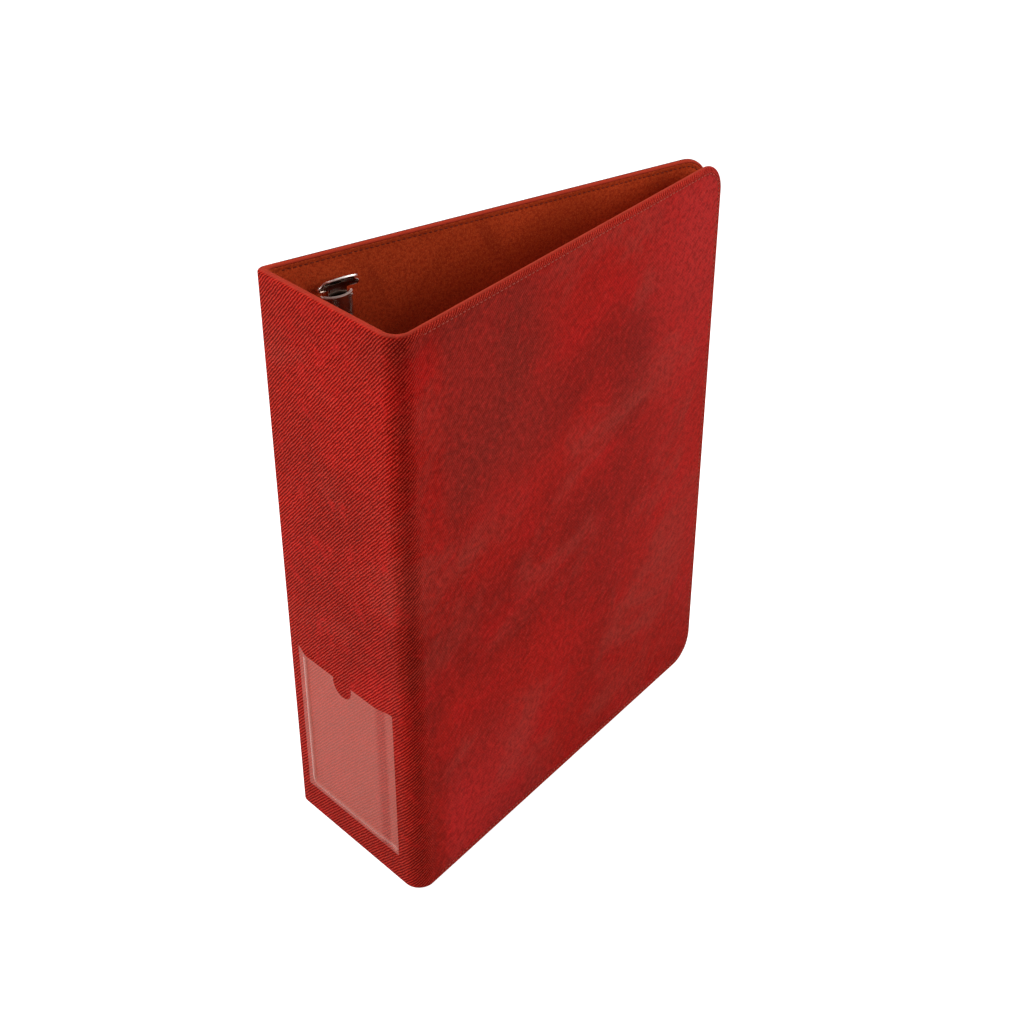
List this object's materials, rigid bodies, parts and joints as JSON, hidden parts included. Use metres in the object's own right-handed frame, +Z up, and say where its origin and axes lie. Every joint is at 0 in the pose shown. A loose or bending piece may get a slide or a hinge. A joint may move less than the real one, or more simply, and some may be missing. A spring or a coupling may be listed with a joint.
{
  "type": "ring binder",
  "caption": "Ring binder for trading cards: two stiff covers hinged on a wide spine with a clear label pocket, and a lever-operated ring mechanism on the back cover.",
  "frame": {"origin": "middle of the spine's lower outer edge, between the two virtual corners of the spine's outer face, on the plane the binder stands on", "axes": "+Z up along the spine, +Y from the spine's outer face towards the fore edge, +X from the back cover, which carries the rings, towards the front cover"},
  "size_m": [0.0979, 0.2547, 0.32],
  "materials": {
    "outer_skin": "ribbed imitation leather, marbled crimson, half gloss",
    "lining": "rust-coloured suede microfibre, matt",
    "board": "plain grey-brown binder's board",
    "clear_film": "clear welded film",
    "bright_metal": "nickel-plated steel"
  },
  "bodies": {
    "spine": {"spine_board": "board", "spine_skin": "outer_skin", "spine_lining": "lining", "label_pocket": "clear_film", "front_hinge_skin": "outer_skin", "back_hinge_skin": "outer_skin", "front_hinge_lining": "lining", "back_hinge_lining": "lining"},
    "front_cover": {"front_board": "board", "front_skin": "outer_skin", "front_lining": "lining"},
    "back_cover": {"back_board": "board", "back_skin": "outer_skin", "back_lining": "lining", "ring_shell": "bright_metal", "mounting_rivets": "bright_metal", "lever_pins": "bright_metal"},
    "ring_curved_half": {"hinge_plate_curved": "bright_metal", "ring_curve_top": "bright_metal", "ring_curve_middle": "bright_metal", "ring_curve_bottom": "bright_metal"},
    "ring_post_half": {"hinge_plate_post": "bright_metal", "ring_post_top": "bright_metal", "ring_post_middle": "bright_metal", "ring_post_bottom": "bright_metal"},
    "top_lever": {"lever_top": "bright_metal"},
    "bottom_lever": {"lever_bottom": "bright_metal"}
  },
  "joints": [
    {"name": "front_cover_hinge", "type": "hinge", "parent": "spine", "child": "front_cover", "pos_m": [0.0471, 0.00253, 0.16], "axis": [0, 0, -1], "range_deg": [0, 99.8]},
    {"name": "back_cover_hinge", "type": "hinge", "parent": "spine", "child": "back_cover", "pos_m": [-0.04928, 0.00069, 0.16], "axis": [0, 0, 1], "range_deg": [0, 99.8]},
    {"name": "ring_opening", "type": "hinge", "parent": "back_cover", "child": "ring_curved_half", "pos_m": [-0.04032, 0.03109, 0.16], "axis": [0, 0, -1], "range_deg": [0, 9]},
    {"name": "ring_post_pivot", "type": "hinge", "parent": "back_cover", "child": "ring_post_half", "pos_m": [-0.03832, 0.04272, 0.16], "axis": [0, 0, 1], "range_deg": [0, 9]},
    {"name": "top_lever_pivot", "type": "hinge", "parent": "back_cover", "child": "top_lever", "pos_m": [-0.03878, 0.03681, 0.2968], "axis": [-0.17, -0.9854, 0], "range_deg": [0, 14]},
    {"name": "bottom_lever_pivot", "type": "hinge", "parent": "back_cover", "child": "bottom_lever", "pos_m": [-0.03878, 0.03681, 0.0232], "axis": [0.17, 0.9854, 0], "range_deg": [0, 14]}
  ],
  "couplings": [
    {"joint": "ring_post_pivot", "follows": "ring_opening", "ratio": 1},
    {"joint": "top_lever_pivot", "follows": "ring_opening", "ratio": 1.555},
    {"joint": "bottom_lever_pivot", "follows": "ring_opening", "ratio": 1.555}
  ]
}
